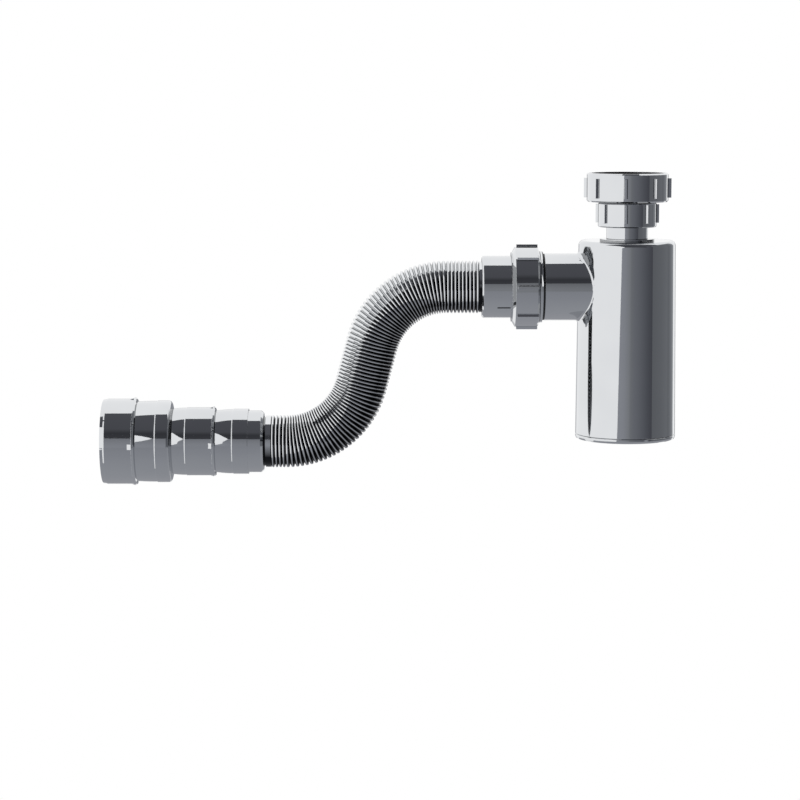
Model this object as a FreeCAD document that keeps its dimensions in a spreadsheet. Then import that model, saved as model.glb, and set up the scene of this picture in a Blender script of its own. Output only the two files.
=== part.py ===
"""Bottle trap: union inlet, adjustable dip tube, screwed cleaning cap, corrugated outlet hose and wall adapter."""
import FreeCAD
import Part
import Sketcher
import math
import os

# Driving sizes in millimetres, degrees and counts
SIZES = (
    # Gaps between pieces that move on each other
    ("running_gap", 0.3),
    ("seal_gap", 0.15),
    ("bond_gap", 0.15),
    # Ribs on the nuts
    ("rib_count", 8),
    ("rib_width", 2.5),
    ("rib_root", 0.6),
    ("rib_slope", 0.6),
    ("inlet_nut_turn", -7.5),
    ("outlet_nut_turn", 3.5),
    # Inlet union
    ("union_thread_radius", 20.95),
    ("union_thread_depth", 7.1),
    ("union_relief", 0.5),
    ("union_wall", 2.7),
    ("union_lip", 4.0),
    ("union_chamfer", 0.8),
    ("union_rib_height", 1.65),
    ("union_rib_start", 2.4),
    ("union_rib_end_margin", 3.0),
    ("inlet_gasket_thickness", 2.5),
    ("inlet_gasket_width", 5.4),
    ("tail_flange_thickness", 3.0),
    ("tail_wall", 2.1),
    # Neck slip joint
    ("neck_nut_gap", 0.6),
    ("neck_thread_length", 5.5),
    ("neck_seal_height", 4.0),
    ("neck_seal_taper", 0.9),
    ("neck_ring_thickness", 2.0),
    ("neck_end_wall", 2.5),
    ("neck_wall", 2.3),
    ("neck_chamfer", 0.6),
    ("neck_rib_height", 1.35),
    ("neck_rib_start", 2.5),
    ("neck_rib_end_margin", 0.8),
    # Dip tube
    ("dip_tube_radius", 12.0),
    ("dip_tube_wall", 1.8),
    ("dip_tube_head_drop", 2.0),
    ("dip_tube_collar_height", 2.0),
    ("water_seal_depth", 50.0),
    # Bottle
    ("bottle_drop", 7.9),
    ("bottle_height", 113.0),
    ("bottle_radius", 28.1),
    ("bottle_draft", 1.05),
    ("bottle_wall", 3.2),
    ("bottle_top_wall", 3.0),
    ("bottle_edge_radius", 2.8),
    ("spigot_fillet", 1.6),
    ("bottle_seam_chamfer", 0.3),
    ("boss_wall", 3.6),
    ("boss_rise", 1.0),
    ("boss_depth", 6.0),
    ("boss_seal_width", 1.8),
    ("boss_seal_height", 2.2),
    ("boss_seal_margin", 1.9),
    # Cleaning cap
    ("cap_rim_height", 2.8),
    ("cap_edge_bevel", 1.4),
    ("cap_edge_knee", 0.4),
    ("cap_thread_length", 9.7),
    ("cap_thread_step", 0.3),
    ("cap_wall", 2.8),
    ("cap_floor", 3.0),
    ("cap_recess_radius", 18.0),
    ("cap_recess_depth", 2.0),
    ("cap_grip_width", 5.0),
    ("cap_seal_step", 1.3),
    ("cap_seal_seat", 1.0),
    ("cap_seal_height", 2.4),
    # Outlet union
    ("outlet_depth", 27.1),
    ("outlet_tube_radius", 19.4),
    ("outlet_tube_wall", 2.9),
    ("outlet_tube_reach", 48.1),
    ("outlet_runout_length", 1.3),
    ("outlet_runout_depth", 0.9),
    ("outlet_collar_length", 3.6),
    ("outlet_thread_step", 1.25),
    ("outlet_thread_length", 6.7),
    ("outlet_thread_chamfer", 0.8),
    ("outlet_gasket_thickness", 2.0),
    ("outlet_ring_thickness", 1.4),
    ("outlet_end_wall", 3.2),
    ("outlet_nut_wall", 2.3),
    ("outlet_nut_chamfer", 0.8),
    ("outlet_face_chamfer", 1.7),
    ("outlet_lip_length", 0.5),
    ("outlet_lip_wall", 2.0),
    ("outlet_rib_height", 1.45),
    ("outlet_rib_start", 0.3),
    ("outlet_rib_end_margin", 2.6),
    # Hose cuff
    ("cuff_flange_thickness", 2.4),
    ("cuff_flange_height", 2.65),
    ("cuff_length", 21.6),
    ("cuff_wall", 3.15),
    ("cuff_socket_depth", 13.0),
    ("cuff_shoulder", 1.4),
    ("cuff_chamfer", 0.8),
    # Corrugated hose
    ("hose_crest_rise", 0.6),
    ("hose_ridge_depth", 1.7),
    ("hose_wall", 1.4),
    ("hose_ridge_pitch", 2.8),
    ("hose_cuff_sleeve", 1.6),
    ("hose_adapter_sleeve", 4.4),
    ("hose_outlet_run", 20.5),
    ("hose_bend_radius", 45.0),
    ("hose_turn", 75.0),
    ("hose_middle_run", 25.0),
    ("hose_wall_run", 13.5),
    ("hose_bore_step", 15.0),
    # Wall adapter
    ("adapter_socket_depth", 12.0),
    ("adapter_socket_wall", 3.1),
    ("adapter_stop_height", 1.4),
    ("adapter_stop_length", 3.0),
    ("adapter_wall", 3.0),
    ("adapter_bore_step", 1.5),
    ("adapter_nose_chamfer", 1.4),
    ("adapter_nose_length", 8.9),
    ("adapter_grip_rise", 1.0),
    ("adapter_grip_length", 8.8),
    ("adapter_grip_taper", 0.7),
    ("adapter_grip_taper_length", 9.5),
    ("adapter_stop_rib_length", 0.4),
    ("adapter_stop_rib_rise", 0.5),
    ("adapter_small_radius", 20.0),
    ("adapter_small_length", 15.4),
    ("adapter_small_taper", 0.6),
    ("adapter_small_taper_length", 8.3),
    ("adapter_shoulder_radius", 2.0),
    ("adapter_middle_radius", 24.0),
    ("adapter_middle_length", 6.2),
    ("adapter_middle_taper", 0.35),
    ("adapter_middle_taper_length", 11.2),
    ("adapter_pipe_rib_length", 0.5),
    ("adapter_pipe_rib_rise", 0.7),
    ("adapter_pipe_radius", 25.0),
    ("adapter_pipe_length", 15.7),
    ("adapter_lip_length", 1.8),
    ("adapter_lip_taper", 0.3),
    ("adapter_bead_length", 0.5),
    ("adapter_bead_height", 0.25),
    ("adapter_rib_face_length", 0.6),
    ("adapter_rib_round_length", 0.9),
    ("adapter_rib_round_drop", 0.8),
    ("adapter_mouth_bead_length", 0.8),
)


class Term:
    """A number together with the expression that gives it from the sheet."""

    def __init__(self, value, text):
        self.value = value
        self.text = text

    def __add__(self, other):
        return Term(self.value + other.value, f"({self.text} + {other.text})")

    def __sub__(self, other):
        return Term(self.value - other.value, f"({self.text} - {other.text})")

    def __mul__(self, other):
        return Term(self.value * other.value, f"({self.text} * {other.text})")

    def __neg__(self):
        return Term(-self.value, f"(-1 * {self.text})")


ZERO = Term(0.0, "0")
ONE = Term(1.0, "1")
HALF = Term(0.5, "0.5")
TWO = Term(2.0, "2")
HALF_TURN = Term(180.0, "180")

# Radii that differ by less than this are the same edge
SAME_RADIUS = 0.001

# Where the valley and the crest lie in one pitch of the bellows
VALLEY_SHARE = 0.25
CREST_SHARE = 0.75

doc = FreeCAD.newDocument("BottleTrap")
sheet = doc.addObject("Spreadsheet::Sheet", "Sizes")
for row, (alias, number) in enumerate(SIZES, start=1):
    sheet.set(f"A{row}", alias)
    sheet.set(f"B{row}", str(number))
    sheet.setAlias(f"B{row}", alias)
doc.recompute()


def size(name):
    """One driving size, read from the sheet."""
    return Term(float(sheet.get(name)), f"Sizes.{name}")


def sine(angle):
    """Sine of an angle that is held in degrees."""
    return Term(math.sin(math.radians(angle.value)), f"sin({angle.text} * 1 deg)")


def cosine(angle):
    """Cosine of an angle that is held in degrees."""
    return Term(math.cos(math.radians(angle.value)), f"cos({angle.text} * 1 deg)")


def origin_item(body, role):
    """A plane or an axis of the body's own origin."""
    return next(item for item in body.Origin.OriginFeatures if item.Role == role)


def fix_corner(sketch, corner, kind, distance, axis):
    """Holds one corner of a section at its distance from the sketch origin."""
    if distance is ZERO:
        sketch.addConstraint(Sketcher.Constraint("PointOnObject", corner, 1, axis))
        return
    index = sketch.addConstraint(Sketcher.Constraint(kind, -1, 1, corner, 1, distance.value))
    sketch.setExpression(f"Constraints[{index}]", distance.text)


def bowed_edge(start, end):
    """Convex arc that leaves its start along the section's axis and falls to its end."""
    fall = start.x - end.x
    run = end.y - start.y
    radius = (run * run + fall * fall) / (2 * fall)
    circle = Part.Circle(start - FreeCAD.Vector(radius, 0, 0), FreeCAD.Vector(0, 0, 1), radius)
    return Part.ArcOfCircle(circle, 0, math.asin(run / radius))


def section(body, name, corners, lift=ZERO, bowed=(), plane="XZ_Plane"):
    """Closed outline on a plane of the body: each corner is its distance across and along, as terms.

    The edges that start at the corners numbered in bowed are arcs.
    """
    sketch = body.newObject("Sketcher::SketchObject", name)
    sketch.AttachmentSupport = [(origin_item(body, plane), "")]
    sketch.MapMode = "FlatFace"
    if lift is not ZERO:
        sketch.setExpression("AttachmentOffset.Base.y", lift.text)
    points = [FreeCAD.Vector(across.value, along.value, 0) for across, along in corners]
    count = len(points)
    for index in range(count):
        edge = bowed_edge if index in bowed else Part.LineSegment
        sketch.addGeometry(edge(points[index], points[(index + 1) % count]), False)
    for index in range(count):
        sketch.addConstraint(Sketcher.Constraint("Coincident", index, 2, (index + 1) % count, 1))
        if index in bowed:
            sketch.addConstraint(Sketcher.Constraint("Horizontal", index, 1, index, 3))
    for index, (across, along) in enumerate(corners):
        fix_corner(sketch, index, "DistanceX", across, -2)
        fix_corner(sketch, index, "DistanceY", along, -1)
    return sketch


def new_body(name):
    """An empty body whose label names its file."""
    body = doc.addObject("PartDesign::Body", name)
    body.Label = name
    return body


def turn(body, sketch, axis="V_Axis", kind="PartDesign::Revolution"):
    """Turns a section all the way round one of its own axes."""
    feature = body.newObject(kind, sketch.Name + "_turned")
    feature.Profile = sketch
    feature.ReferenceAxis = (sketch, [axis])
    feature.Angle = 360
    doc.recompute()
    return feature


def turned_body(name, corners, bowed=()):
    """A body made of one turned section."""
    body = new_body(name)
    turn(body, section(body, name + "_section", corners, bowed=bowed))
    return body


def add_ribs(body, name, radius, height, start, end):
    """Grip ribs along the outside of a nut, with sloping sides, spread evenly round it."""
    root = radius - size("rib_root")
    crest = radius + height
    slope = size("rib_slope")
    width = size("rib_width")
    outline = section(body, name + "_rib", [
        (root, ZERO),
        (crest, slope),
        (crest, width - slope),
        (root, width),
    ], -width * HALF, plane="XY_Plane")
    outline.setExpression("AttachmentOffset.Base.z", start.text)
    rib = body.newObject("PartDesign::Pad", name + "_rib_pad")
    rib.Profile = outline
    rib.setExpression("Length", (end - start).text)
    doc.recompute()
    ribs = body.newObject("PartDesign::PolarPattern", name + "_ribs")
    ribs.Originals = [rib]
    ribs.Axis = (origin_item(body, "Z_Axis"), [""])
    ribs.Angle = 360
    ribs.setExpression("Occurrences", "Sizes.rib_count")
    body.Tip = ribs
    doc.recompute()


def round_edges(body, name, radius, wanted):
    """Rounds the edges of the tip that the test picks out."""
    base = body.Tip
    picked = [f"Edge{index}" for index, edge in enumerate(base.Shape.Edges, start=1) if wanted(edge)]
    fillet = body.newObject("PartDesign::Fillet", name)
    fillet.Base = (base, picked)
    fillet.setExpression("Radius", radius.text)
    doc.recompute()


def stand(item, height, angle=ZERO):
    """Places an upright piece on the bottle's axis, turned on it by an angle."""
    item.Placement = FreeCAD.Placement(FreeCAD.Vector(), FreeCAD.Rotation(FreeCAD.Vector(0, 0, 1), angle.value))
    item.setExpression("Placement.Base.z", height.text)


def lay(item, reach, height, angle=ZERO):
    """Places a piece that lies along the outlet, its own Z axis pointing away from the bottle."""
    laid = FreeCAD.Rotation(FreeCAD.Vector(0, 1, 0), -90)
    turned = FreeCAD.Rotation(FreeCAD.Vector(0, 0, 1), angle.value)
    item.Placement = FreeCAD.Placement(FreeCAD.Vector(), laid * turned)
    item.setExpression("Placement.Base.x", (-reach).text)
    item.setExpression("Placement.Base.z", height.text)


def ring(name, inner, outer, thickness):
    """A flat ring that stands on its own XY plane."""
    return turned_body(name, [(inner, ZERO), (outer, ZERO), (outer, thickness), (inner, thickness)])


running_gap = size("running_gap")
seal_gap = size("seal_gap")

# Radii of the inlet, from the dip tube outwards
tube_radius = size("dip_tube_radius")
tube_clear = tube_radius + running_gap
tail_radius = tube_clear + size("tail_wall")
tail_clear = tail_radius + running_gap
union_thread = size("union_thread_radius")
union_outer = union_thread + size("union_wall")
union_relief = union_thread + size("union_relief")
flange_radius = union_thread - running_gap

# Heights of the inlet, from the seat of the waste downwards
gasket_base = -size("inlet_gasket_thickness")
flange_base = gasket_base - size("tail_flange_thickness")
union_base = flange_base - size("union_lip")
union_height = size("union_thread_depth") - union_base
neck_top = union_base - size("neck_nut_gap")
tail_base = neck_top - size("neck_thread_length")
neck_seal_base = tail_base - size("neck_seal_height")
neck_ring_base = neck_seal_base - size("neck_ring_thickness")
neck_base = neck_ring_base - size("neck_end_wall")
neck_height = neck_top - neck_base
bottle_top = neck_base - size("bottle_drop")
bottle_base = bottle_top - size("bottle_height")
outlet_height = bottle_top - size("outlet_depth")

# Union nut, captive on the tailpiece's flange
thread_end = union_height - size("union_thread_depth")
union_edge = size("union_chamfer")
union_nut = turned_body("inlet_nut", [
    (tail_clear, ZERO),
    (union_outer - union_edge, ZERO),
    (union_outer, union_edge),
    (union_outer, union_height - union_edge),
    (union_outer - union_edge, union_height),
    (union_thread, union_height),
    (union_thread, thread_end),
    (union_relief, thread_end),
    (union_relief, size("union_lip")),
    (tail_clear, size("union_lip")),
])
add_ribs(union_nut, "union", union_outer, size("union_rib_height"), size("union_rib_start"),
         union_height - size("union_rib_end_margin"))
stand(union_nut, union_base, size("inlet_nut_turn"))

# Gasket and tailpiece under the waste
inlet_gasket = ring("inlet_gasket", flange_radius - size("inlet_gasket_width"), flange_radius,
                    size("inlet_gasket_thickness"))
stand(inlet_gasket, gasket_base)

tail_length = gasket_base - tail_base
tailpiece = turned_body("tailpiece", [
    (tube_clear, ZERO),
    (tail_radius, ZERO),
    (tail_radius, flange_base - tail_base),
    (flange_radius, flange_base - tail_base),
    (flange_radius, tail_length),
    (tube_clear, tail_length),
])
stand(tailpiece, tail_base)

# Slip joint that grips the dip tube
neck_bore = tail_radius + running_gap
neck_outer = neck_bore + size("neck_wall")
neck_edge = size("neck_chamfer")
neck_nut = turned_body("neck_nut", [
    (tube_clear, ZERO),
    (neck_outer - neck_edge, ZERO),
    (neck_outer, neck_edge),
    (neck_outer, neck_height - neck_edge),
    (neck_outer - neck_edge, neck_height),
    (neck_bore, neck_height),
    (neck_bore, size("neck_end_wall")),
    (tube_clear, size("neck_end_wall")),
])
add_ribs(neck_nut, "neck", neck_outer, size("neck_rib_height"), size("neck_rib_start"),
         neck_height - size("neck_rib_end_margin"))
stand(neck_nut, neck_base, size("inlet_nut_turn"))

neck_ring = ring("neck_slip_ring", tube_clear, tail_radius, size("neck_ring_thickness"))
stand(neck_ring, neck_ring_base)

seal_taper = size("neck_seal_taper")
neck_seal = turned_body("neck_seal", [
    (tube_radius + seal_gap, ZERO),
    (tail_radius - seal_taper, ZERO),
    (tail_radius, seal_taper),
    (tail_radius, size("neck_seal_height")),
    (tube_radius + seal_gap, size("neck_seal_height")),
])
stand(neck_seal, neck_seal_base)

# Bottle with its outlet spigot, open at the base, outlet along its own +X
bottle_height = size("bottle_height")
bottle_radius = size("bottle_radius")
bottle_foot = bottle_radius + size("bottle_draft")
seam = size("bottle_seam_chamfer")
boss_hole = tube_radius + seal_gap
boss_outer = boss_hole + size("boss_wall")
boss_crown = bottle_height + size("boss_rise")
bottle = turned_body("bottle_body", [
    (ZERO, ZERO),
    (bottle_foot - seam, ZERO),
    (bottle_foot, seam),
    (bottle_radius, bottle_height),
    (boss_outer, bottle_height),
    (boss_outer, boss_crown),
    (ZERO, boss_crown),
])


def is_bottle_rim(edge):
    """Whether an edge is the circle round the bottle's top."""
    return isinstance(edge.Curve, Part.Circle) and abs(edge.Curve.Radius - bottle_radius.value) < SAME_RADIUS


round_edges(bottle, "bottle_top_edge", size("bottle_edge_radius"), is_bottle_rim)

spigot_radius = size("outlet_tube_radius")
spigot_bore = spigot_radius - size("outlet_tube_wall")
thread_radius = spigot_radius + size("outlet_thread_step")
collar_start = size("outlet_tube_reach")
nut_start = collar_start + size("outlet_collar_length")
spigot_end = nut_start + size("outlet_thread_length")
spigot_edge = size("outlet_thread_chamfer")
runout_radius = spigot_radius - size("outlet_runout_depth")
runout_end = collar_start + size("outlet_runout_length")
outlet_rise = outlet_height - bottle_base
spigot = section(bottle, "spigot_section", [
    (ZERO, ZERO),
    (ZERO, spigot_radius),
    (collar_start, spigot_radius),
    (collar_start, runout_radius),
    (runout_end, runout_radius),
    (runout_end, thread_radius),
    (spigot_end - spigot_edge, thread_radius),
    (spigot_end, thread_radius - spigot_edge),
    (spigot_end, ZERO),
], outlet_rise)
turn(bottle, spigot, "H_Axis")


def is_spigot_root(edge):
    """Whether an edge is where the round spigot grows out of the bottle's side."""
    return edge.Length > spigot_radius.value and not isinstance(edge.Curve, (Part.Circle, Part.Line))


round_edges(bottle, "spigot_root", size("spigot_fillet"), is_spigot_root)

cap_thread = bottle_foot - size("bottle_wall")
cap_seat = cap_thread + size("cap_seal_seat")
seat_depth = size("cap_seal_height") + running_gap
thread_top = size("cap_thread_length") + running_gap
cavity_foot = cap_thread - size("cap_thread_step")
cavity_head = bottle_radius - size("bottle_wall")
ceiling = bottle_height - size("bottle_top_wall")
boss_foot = ceiling - size("boss_depth")
seal_groove = boss_hole + size("boss_seal_width")
groove_base = boss_foot + size("boss_seal_margin")
groove_top = groove_base + size("boss_seal_height")
cavity = section(bottle, "cavity_section", [
    (ZERO, ZERO),
    (cap_seat, ZERO),
    (cap_seat, seat_depth),
    (cap_thread, seat_depth),
    (cap_thread, thread_top),
    (cavity_foot, thread_top),
    (cavity_head, ceiling),
    (boss_outer, ceiling),
    (boss_outer, boss_foot),
    (boss_hole, boss_foot),
    (boss_hole, groove_base),
    (seal_groove, groove_base),
    (seal_groove, groove_top),
    (boss_hole, groove_top),
    (boss_hole, boss_crown),
    (ZERO, boss_crown),
])
turn(bottle, cavity, "V_Axis", "PartDesign::Groove")

outlet_bore = section(bottle, "outlet_bore_section", [
    (ZERO, ZERO),
    (ZERO, spigot_bore),
    (spigot_end, spigot_bore),
    (spigot_end, ZERO),
], outlet_rise)
turn(bottle, outlet_bore, "H_Axis", "PartDesign::Groove")
stand(bottle, bottle_base, HALF_TURN)

dip_tube_seal = ring("dip_tube_seal", boss_hole, seal_groove - seal_gap, size("boss_seal_height"))
stand(dip_tube_seal, bottle_base + groove_base)

# Dip tube, held under the boss by its collar
tube_top = -size("dip_tube_head_drop")
tube_base = outlet_height - spigot_bore - size("water_seal_depth")
collar_top = bottle_base + boss_foot - tube_base
collar_base = collar_top - size("dip_tube_collar_height")
tube_bore = tube_radius - size("dip_tube_wall")
dip_tube = turned_body("dip_tube", [
    (tube_bore, ZERO),
    (tube_radius, ZERO),
    (tube_radius, collar_base),
    (seal_groove, collar_base),
    (seal_groove, collar_top),
    (tube_radius, collar_top),
    (tube_radius, tube_top - tube_base),
    (tube_bore, tube_top - tube_base),
])
stand(dip_tube, tube_base)

# Cleaning cap that screws up into the bottle
cap_rim = size("cap_rim_height")
cap_spigot = cap_thread - running_gap
cap_groove = cap_spigot - size("cap_seal_step")
cap_top = cap_rim + size("cap_thread_length")
cap_inner = cap_spigot - size("cap_wall")
seal_band = cap_rim + seat_depth
cap_floor_top = size("cap_recess_depth") + size("cap_floor")
recess_radius = size("cap_recess_radius")
cap_bevel = size("cap_edge_bevel")
cap_knee = size("cap_edge_knee")
cap = turned_body("bottom_cap", [
    (ZERO, size("cap_recess_depth")),
    (recess_radius, size("cap_recess_depth")),
    (recess_radius, ZERO),
    (bottle_foot - cap_bevel, ZERO),
    (bottle_foot - cap_knee, cap_knee),
    (bottle_foot, cap_bevel),
    (bottle_foot, cap_rim - seam),
    (bottle_foot - seam, cap_rim),
    (cap_groove, cap_rim),
    (cap_groove, seal_band),
    (cap_spigot, seal_band),
    (cap_spigot, cap_top),
    (cap_inner, cap_top),
    (cap_inner, cap_floor_top),
    (ZERO, cap_floor_top),
])
grip_half = recess_radius + seam
grip = section(cap, "grip_section", [
    (-grip_half, seam),
    (grip_half, seam),
    (grip_half, size("cap_recess_depth")),
    (-grip_half, size("cap_recess_depth")),
])
grip_bar = cap.newObject("PartDesign::Pad", "grip_bar")
grip_bar.Profile = grip
grip_bar.SideType = "Symmetric"
grip_bar.setExpression("Length", "Sizes.cap_grip_width")
doc.recompute()
stand(cap, bottle_base - cap_rim)

bottom_seal = ring("bottom_seal", cap_groove + seal_gap, cap_seat - running_gap, size("cap_seal_height"))
stand(bottom_seal, bottle_base)

# Union nut, gasket, flanged cuff and ring at the outlet
gasket_end = spigot_end + size("outlet_gasket_thickness")
flange_end = gasket_end + size("cuff_flange_thickness")
ring_end = flange_end + size("outlet_ring_thickness")
nut_end = ring_end + size("outlet_end_wall")
nut_length = nut_end - nut_start
nut_bore = thread_radius + running_gap
nut_outer = nut_bore + size("outlet_nut_wall")
nut_edge = size("outlet_nut_chamfer")
cuff_radius = thread_radius - size("cuff_flange_height")
cuff_clear = cuff_radius + running_gap
nut_lip = cuff_clear + size("outlet_lip_wall")
nut_shoulder = nut_length - size("outlet_lip_length")
outlet_nut = turned_body("outlet_nut", [
    (nut_bore, ZERO),
    (nut_outer - nut_edge, ZERO),
    (nut_outer, nut_edge),
    (nut_outer, nut_shoulder - size("outlet_face_chamfer")),
    (nut_lip, nut_shoulder),
    (nut_lip, nut_length),
    (cuff_clear, nut_length),
    (cuff_clear, nut_length - size("outlet_end_wall")),
    (nut_bore, nut_length - size("outlet_end_wall")),
])
add_ribs(outlet_nut, "outlet", nut_outer, size("outlet_rib_height"), size("outlet_rib_start"),
         nut_shoulder - size("outlet_rib_end_margin"))
lay(outlet_nut, nut_start, outlet_height, size("outlet_nut_turn"))

outlet_gasket = ring("outlet_gasket", spigot_bore, thread_radius, size("outlet_gasket_thickness"))
lay(outlet_gasket, spigot_end, outlet_height)

outlet_ring = ring("outlet_slip_ring", cuff_clear, thread_radius, size("outlet_ring_thickness"))
lay(outlet_ring, flange_end, outlet_height)

cuff_end = size("cuff_flange_thickness") + size("cuff_length")
cuff_socket = cuff_radius - size("cuff_wall")
cuff_bore = cuff_socket - size("cuff_shoulder")
socket_start = cuff_end - size("cuff_socket_depth")
cuff_edge = size("cuff_chamfer")
cuff = turned_body("hose_cuff", [
    (cuff_bore, ZERO),
    (thread_radius, ZERO),
    (thread_radius, size("cuff_flange_thickness")),
    (cuff_radius, size("cuff_flange_thickness")),
    (cuff_radius, cuff_end - cuff_edge),
    (cuff_radius - cuff_edge, cuff_end),
    (cuff_socket, cuff_end),
    (cuff_socket, socket_start),
    (cuff_bore, socket_start),
])
lay(cuff, gasket_end, outlet_height)

# Corrugated hose on its route of runs and tangent bends
bend = size("hose_bend_radius")
turned_by = size("hose_turn")
middle_run = size("hose_middle_run")
hose_mouth = gasket_end + cuff_end
bend_reach = TWO * bend * sine(turned_by)
bend_drop = TWO * bend * (ONE - cosine(turned_by))
adapter_start = (hose_mouth + size("hose_outlet_run") + bend_reach + middle_run * cosine(turned_by)
                 + size("hose_wall_run"))
adapter_height = outlet_height - bend_drop - middle_run * sine(turned_by)

hose_sleeve = cuff_socket - size("bond_gap")
hose_crest = hose_sleeve + size("hose_crest_rise")
hose_root = hose_crest - size("hose_ridge_depth")
hose_bore = hose_root - size("hose_wall")

turn_angle = math.radians(turned_by.value)
arc_length = bend.value * turn_angle
first_run = size("cuff_socket_depth").value + size("hose_outlet_run").value
last_run = size("hose_wall_run").value + size("adapter_socket_depth").value
pieces = (
    (first_run, 0.0),
    (arc_length, turn_angle),
    (middle_run.value, 0.0),
    (arc_length, -turn_angle),
    (last_run, 0.0),
)
hose_length = sum(length for length, angle in pieces)


def route(distance):
    """Centre point and slope of the hose at a distance along its route."""
    across = -(hose_mouth.value - size("cuff_socket_depth").value)
    along = outlet_height.value
    slope = 0.0
    left = distance
    for length, angle in pieces:
        step = min(left, length)
        if angle == 0.0:
            across -= step * math.cos(slope)
            along -= step * math.sin(slope)
        else:
            sign = math.copysign(1.0, angle)
            ending = slope + sign * step / bend.value
            across -= sign * bend.value * (math.sin(ending) - math.sin(slope))
            along += sign * bend.value * (math.cos(ending) - math.cos(slope))
            slope = ending
        left -= step
    return FreeCAD.Vector(across, 0, along), slope


def hose_ring(distance, radius):
    """Circle round the hose's route, square to it, with its seam at the back."""
    point, slope = route(distance)
    circle = Part.Circle(FreeCAD.Vector(), FreeCAD.Vector(0, 0, 1), radius)
    wire = Part.Wire([circle.toShape()])
    back_seam = FreeCAD.Rotation(FreeCAD.Vector(0, 0, 1), 90)
    along_route = FreeCAD.Rotation(FreeCAD.Vector(0, 1, 0), -90 - math.degrees(slope))
    wire.Placement = FreeCAD.Placement(point, along_route * back_seam)
    return wire


ridges_start = size("cuff_socket_depth").value + size("hose_cuff_sleeve").value
ridges_end = hose_length - size("adapter_socket_depth").value - size("hose_adapter_sleeve").value
ridge_count = round((ridges_end - ridges_start) / size("hose_ridge_pitch").value)
ridge_step = (ridges_end - ridges_start) / ridge_count
outer_rings = [hose_ring(0.0, hose_sleeve.value), hose_ring(ridges_start, hose_sleeve.value)]
for ridge in range(ridge_count):
    valley = ridges_start + (ridge + VALLEY_SHARE) * ridge_step
    crest = ridges_start + (ridge + CREST_SHARE) * ridge_step
    outer_rings.append(hose_ring(valley, hose_root.value))
    outer_rings.append(hose_ring(crest, hose_crest.value))
outer_rings.append(hose_ring(ridges_end, hose_sleeve.value))
outer_rings.append(hose_ring(hose_length, hose_sleeve.value))

bore_rings = []
travelled = 0.0
for length, angle in pieces:
    steps = max(1, round(math.degrees(abs(angle)) / size("hose_bore_step").value))
    for step in range(steps):
        bore_rings.append(hose_ring(travelled + length * step / steps, hose_bore.value))
    travelled += length
bore_rings.append(hose_ring(hose_length, hose_bore.value))

hose_outside = Part.makeLoft(outer_rings, True, True)
hose_inside = Part.makeLoft(bore_rings, True, True)
hose = doc.addObject("Part::Feature", "hose")
hose.Label = "hose"
hose.Shape = hose_outside.cut(hose_inside)
hose.Placement = FreeCAD.Placement()

# Stepped wall adapter, from the hose to the wall pipe
socket = hose_sleeve + running_gap
nose_radius = socket + size("adapter_socket_wall")
grip_radius = nose_radius + size("adapter_grip_rise")
small_radius = size("adapter_small_radius")
middle_radius = size("adapter_middle_radius")
pipe_radius = size("adapter_pipe_radius")
stop_bore = socket - size("adapter_stop_height")
small_bore = socket + size("adapter_bore_step")
pipe_bore = pipe_radius - size("adapter_wall")
nose_edge = size("adapter_nose_chamfer")
bead_length = size("adapter_bead_length")
bead_height = size("adapter_bead_height")
rib_face = size("adapter_rib_face_length")
rib_round = rib_face + size("adapter_rib_round_length")
rib_drop = size("adapter_rib_round_drop")
nose_end = size("adapter_nose_length")
grip_end = nose_end + size("adapter_grip_length")
grip_bead = grip_end + bead_length
grip_taper_end = grip_bead + size("adapter_grip_taper_length")
stop_crest = grip_taper_end + rib_round
stop_rib_end = stop_crest + size("adapter_stop_rib_length")
small_end = stop_rib_end + size("adapter_small_length")
small_bead = small_end + bead_length
shoulder = small_bead + size("adapter_small_taper_length")
middle_end = shoulder + size("adapter_shoulder_radius") + size("adapter_middle_length")
middle_bead = middle_end + bead_length
middle_taper_end = middle_bead + size("adapter_middle_taper_length")
pipe_crest = middle_taper_end + rib_round
pipe_rib_end = pipe_crest + size("adapter_pipe_rib_length")
pipe_end = pipe_rib_end + size("adapter_pipe_length")
mouth_bead = pipe_end + size("adapter_mouth_bead_length")
adapter_length = mouth_bead + size("adapter_lip_length")
socket_end = size("adapter_socket_depth")
stop_end = socket_end + size("adapter_stop_length")
stop_rib = small_radius + size("adapter_stop_rib_rise")
pipe_rib = pipe_radius + size("adapter_pipe_rib_rise")
lip_radius = pipe_radius - bead_height
adapter_outside = [
    (socket, ZERO),
    (nose_radius - nose_edge, ZERO),
    (nose_radius, nose_edge),
    (nose_radius, nose_end),
    (grip_radius, nose_end),
    (grip_radius, grip_end),
    (grip_radius - bead_height, grip_bead),
    (grip_radius - bead_height - size("adapter_grip_taper"), grip_taper_end),
    (stop_rib - rib_drop, grip_taper_end + rib_face),
    (stop_rib, stop_crest),
    (stop_rib, stop_rib_end),
    (small_radius, stop_rib_end),
    (small_radius, small_end),
    (small_radius - bead_height, small_bead),
    (small_radius - bead_height - size("adapter_small_taper"), shoulder),
    (middle_radius, shoulder),
    (middle_radius, middle_end),
    (middle_radius - bead_height, middle_bead),
    (middle_radius - bead_height - size("adapter_middle_taper"), middle_taper_end),
    (pipe_rib - rib_drop, middle_taper_end + rib_face),
    (pipe_rib, pipe_crest),
    (pipe_rib, pipe_rib_end),
    (pipe_radius, pipe_rib_end),
    (pipe_radius, pipe_end),
    (lip_radius, mouth_bead),
    (lip_radius - size("adapter_lip_taper"), adapter_length),
]
adapter_inside = [
    (pipe_bore, adapter_length),
    (pipe_bore, shoulder + size("adapter_wall")),
    (small_bore, shoulder + size("adapter_wall")),
    (small_bore, stop_end),
    (stop_bore, stop_end),
    (stop_bore, socket_end),
    (socket, socket_end),
]
taper_starts = (grip_bead, small_bead, middle_bead)
tapers = [index for index, corner in enumerate(adapter_outside) if corner[1] in taper_starts]
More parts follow.
